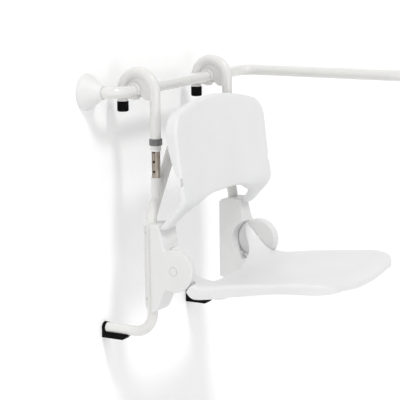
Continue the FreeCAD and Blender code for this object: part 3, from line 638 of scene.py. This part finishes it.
def seat_skirt(x, y, top):
    if abs(x) > 0.2535 or y < -0.6:
        low = hermite(SEAT_EDGE, y)
    elif y > -0.29 and abs(x) < 0.25:
        low = top.z - 0.007 - 0.009 * max(0.0, 1 - abs(x) / 0.16)
    else:
        low = top.z - 0.006
    low = min(low, top.z - 0.004)
    steps = range(1, SKIRT_STEPS + 1)
    return [Vector((top.x, top.y, top.z + (low - top.z) * k / SKIRT_STEPS)) for k in steps]


def seat_moulding():
    outline = rounded_outline(SEAT_OUTLINE, OUTLINE_STEP)
    seat = moulded_sheet("seat_moulding", outline, seat_roll, 0.009, seat_lift, seat_skirt)
    dress(seat, "seat", "seat_plastic", "seat_shell")


KNUCKLE_R = 0.064
KNUCKLE_ANGLES = range(38, 237, 6)
TOOTH_ANGLES = (142.5, 146.6, 150.8, 155.0)
TOOTH_OUT, TOOTH_IN, TOOTH_WIDTH = 0.004, 0.005, 0.018      # past the knuckle's edge, inside it, across
EAR_CREASE = [(-0.317, -0.567), (-0.298, -0.553), (-0.272, -0.527), (-0.256, -0.509), (-0.240, -0.492),
              (-0.227, -0.482)]


def around_hinge(radius, degrees):
    """(y, z) at an angle from straight up, turning towards the wall."""
    angle = math.radians(degrees)
    return (HINGE_Y + radius * math.sin(angle), HINGE_Z + radius * math.cos(angle))


def seat_ears():
    """The round knuckles beside the blocks, and the teeth that meet the stop buffers."""
    arc = [around_hinge(KNUCKLE_R, degrees) for degrees in KNUCKLE_ANGLES]
    outer = [around_hinge(KNUCKLE_R + TOOTH_OUT, degrees) for degrees in TOOTH_ANGLES]
    inner = [around_hinge(KNUCKLE_R - TOOTH_IN, degrees) for degrees in reversed(TOOTH_ANGLES)]
    for side, name in SIDES:
        edge = side * EAR_OUTER
        plate = extruded("seat_ear_" + name, EAR_CREASE + arc, side * (EAR_OUTER - 0.005), edge, 0.0012, 2)
        sharpen(plate.data)
        dress(plate, "seat", "seat_plastic")
        tooth_inner = side * (EAR_OUTER - TOOTH_WIDTH)
        tooth = extruded("stop_tooth_" + name, outer + inner, tooth_inner, edge, 0.001, 2)
        dress(tooth, "seat", "seat_plastic")


seat_moulding()
seat_ears()

# ---------------------------------------------------------------- ribs inside the backrest
RIB_OUTLINE = [(-0.276, -0.100), (-0.286, -0.205), (-0.297, -0.286), (-0.299, -0.305), (-0.291, -0.305),
               (-0.283, -0.279), (-0.283, -0.246), (-0.268, -0.208), (-0.253, -0.155), (-0.246, -0.100)]
RIB_X = (0.2635, 0.2665)
for side, name in SIDES:
    rib = extruded("backrest_rib_" + name, RIB_OUTLINE, side * RIB_X[0], side * RIB_X[1], 0.0008)
    dress(rib, "lower_frame", "seat_plastic")

# ---------------------------------------------------------------- hinge blocks
# (y, z, corner radius) points of the block's side view
NECK_TAIL = [(-0.150, -0.408, 0.004), (-0.158, -0.399, 0.010), (-0.190, -0.3935, 0.02),
             (-0.214, -0.394, 0.005), (-0.222, -0.431, 0.04), (-0.234, -0.470, 0.03),
             (-0.265, -0.490, 0.010), (-0.265, -0.570, 0.010), (-0.232, -0.596, 0.02),
             (-0.206, -0.653, 0.03), (-0.196, -0.6635, 0.008), (-0.150, -0.657, 0.004)]
BLOCK_INNER, BLOCK_OUTER = 0.207, 0.285      # distances from the chair's middle plane
CHEEK_INNER, CHEEK_R = 0.256, 0.0645
POCKET_R = 0.069
CAP_SEAT_R, CAP_SEAT_DEPTH = 0.0133, 0.003
TUBE_X, TUBE_Y, TUBE_R = 0.258, -0.175, 0.016
GROOVE_LOW_Z, GROOVE_LENGTH = -0.72, 0.4
REAR_CUT = [(-0.187, -0.72), (-0.12, -0.72), (-0.12, -0.34), (-0.187, -0.34)]
FINE_STEPS, GROOVE_STEPS = 120, 48


def lean_neck(block):
    """The neck's front stands further out towards the middle of the chair than at its outer face."""
    for vert in block.data.vertices:
        inner = (BLOCK_OUTER + (vert.co.x - CHAIR_X)) / (BLOCK_OUTER - BLOCK_INNER)
        high = share((vert.co.z + 0.480) / 0.04)
        if vert.co.y < -0.200:
            vert.co.y -= 0.014 * inner * high


def hinge_block():
    """The left block. The right one is its mirror image."""
    outline = [tuple(point) for point in rounded_outline(NECK_TAIL, 0.004)]
    block = extruded("hinge_block_moulding_left", outline, -BLOCK_INNER, -BLOCK_OUTER)
    lean_neck(block)
    soften(block, 0.0035, 4, 60)
    settle(block)
    pocket = rod(POCKET_R, -(CHEEK_INNER - 0.0001), -(BLOCK_INNER - 0.02), HINGE_Y, HINGE_Z, FINE_STEPS)
    join(block, pocket, "DIFFERENCE")
    groove_profile = [(0, 0), (TUBE_R, 0), (TUBE_R, GROOVE_LENGTH), (0, GROOVE_LENGTH)]
    groove_foot = (CHAIR_X - TUBE_X, TUBE_Y, GROOVE_LOW_Z)
    join(block, turned("groove", groove_profile, groove_foot, (0, 0, 1), GROOVE_STEPS), "DIFFERENCE")
    join(block, extruded("rear", REAR_CUT, -(TUBE_X + 0.0003), -(BLOCK_OUTER + 0.01)), "DIFFERENCE")
    width = BLOCK_OUTER - CHEEK_INNER
    cheek = rounded_profile([(0, 0, 0), (CHEEK_R, 0, 0.008), (CHEEK_R, width, 0.0035), (0, width, 0)], 7)
    join(block, turned("disc", cheek, (CHAIR_X - CHEEK_INNER, HINGE_Y, HINGE_Z), (-1, 0, 0), FINE_STEPS))
    cap_seat = rod(CAP_SEAT_R, -(BLOCK_OUTER + 0.01), -(BLOCK_OUTER - CAP_SEAT_DEPTH), HINGE_Y, HINGE_Z)
    join(block, cap_seat, "DIFFERENCE")
    weld(block.data)
    sharpen(block.data)
    return block


left_block = hinge_block()
right_block = mirror_image(left_block, "hinge_block_moulding_right")
dress(left_block, "lower_frame", "block_plastic", "hinge_block_left")
dress(right_block, "lower_frame", "block_plastic", "hinge_block_right")

# ---------------------------------------------------------------- stage, light, camera
FLOOR_Z, WALL_TOP_Z = -1.42, 4
WALL_Y = 0.0005          # just behind the wall plates, which are flat on Y = 0
STAGE_HALF = 8
STAGE_COLOR = (0.93, 0.93, 0.93)
WALL_GLOW = 0.10


def stage_sheet(name, corners, mat):
    mesh = bpy.data.meshes.new(name)
    mesh.from_pydata(corners, [], [(0, 1, 2, 3)])
    obj = new_object(name, mesh)
    obj.data.materials.append(mat)


def plain_floor():
    mat = new_material("stage_mat", STAGE_COLOR, 0.9, specular=0.1)[0]
    corners = [(-STAGE_HALF, -STAGE_HALF, FLOOR_Z), (STAGE_HALF, -STAGE_HALF, FLOOR_Z),
               (STAGE_HALF, STAGE_HALF, FLOOR_Z), (-STAGE_HALF, STAGE_HALF, FLOOR_Z)]
    stage_sheet("floor", corners, mat)


def one_sided_wall():
    """Backdrop with a see-through back, so that a view from behind the wall shows the chair."""
    mat, tree, bsdf = new_material("wall_mat", STAGE_COLOR, 0.9, specular=0.1)
    bsdf.inputs["Emission Color"].default_value = WHITE
    bsdf.inputs["Emission Strength"].default_value = WALL_GLOW
    clear = tree.nodes.new("ShaderNodeBsdfTransparent")
    mix = tree.nodes.new("ShaderNodeMixShader")
    geometry = tree.nodes.new("ShaderNodeNewGeometry")
    tree.links.new(geometry.outputs["Backfacing"], mix.inputs["Fac"])
    tree.links.new(bsdf.outputs["BSDF"], mix.inputs[1])
    tree.links.new(clear.outputs["BSDF"], mix.inputs[2])
    tree.links.new(mix.outputs["Shader"], tree.nodes["Material Output"].inputs["Surface"])
    corners = [(-STAGE_HALF, WALL_Y, FLOOR_Z), (STAGE_HALF, WALL_Y, FLOOR_Z),
               (STAGE_HALF, WALL_Y, WALL_TOP_Z), (-STAGE_HALF, WALL_Y, WALL_TOP_Z)]
    stage_sheet("wall", corners, mat)


plain_floor()
one_sided_wall()

world = bpy.data.worlds.new("studio")
world.use_nodes = True
world.node_tree.nodes["Background"].inputs["Color"].default_value = WHITE
world.node_tree.nodes["Background"].inputs["Strength"].default_value = 0.56
bpy.context.scene.world = world
bpy.context.scene.view_settings.view_transform = "Standard"


def soft_sun(name, towards, strength, degrees):
    """A sun lamp that shines along a direction. The wider its angle, the softer its shadows."""
    lamp = bpy.data.lights.new(name, "SUN")
    lamp.energy = strength
    lamp.angle = math.radians(degrees)
    new_object(name, lamp).rotation_euler = Vector(towards).to_track_quat("-Z", "Y").to_euler()


soft_sun("key", (0.34, 1.0, -1.35), 1.15, 10)
soft_sun("fill", (0.35, 1.0, -0.15), 0.30, 70)
soft_sun("strip", (0.41, 0.91, 0.10), 0.17, 11)
soft_sun("side", (1.0, 0.40, -0.20), 0.16, 40)

# Where the camera stands, and the directions of its right, up and back
CAM_PLACE = Vector((-3.898, -2.6127, 0.5215))
CAM_RIGHT = Vector((0.4941, -0.8693, -0.0116))
CAM_UP = Vector((0.1612, 0.0786, 0.9838))
CAM_BACK = Vector((-0.8543, -0.4879, 0.179))
camera_data = bpy.data.cameras.new("camera")
camera_data.lens = 142.05
camera_data.sensor_width = 36.0
camera_data.clip_end = 100.0
camera = new_object("camera", camera_data)
axes = Matrix((CAM_RIGHT, CAM_UP, CAM_BACK)).transposed().to_4x4()
camera.matrix_world = Matrix.Translation(CAM_PLACE) @ axes
bpy.context.scene.camera = camera
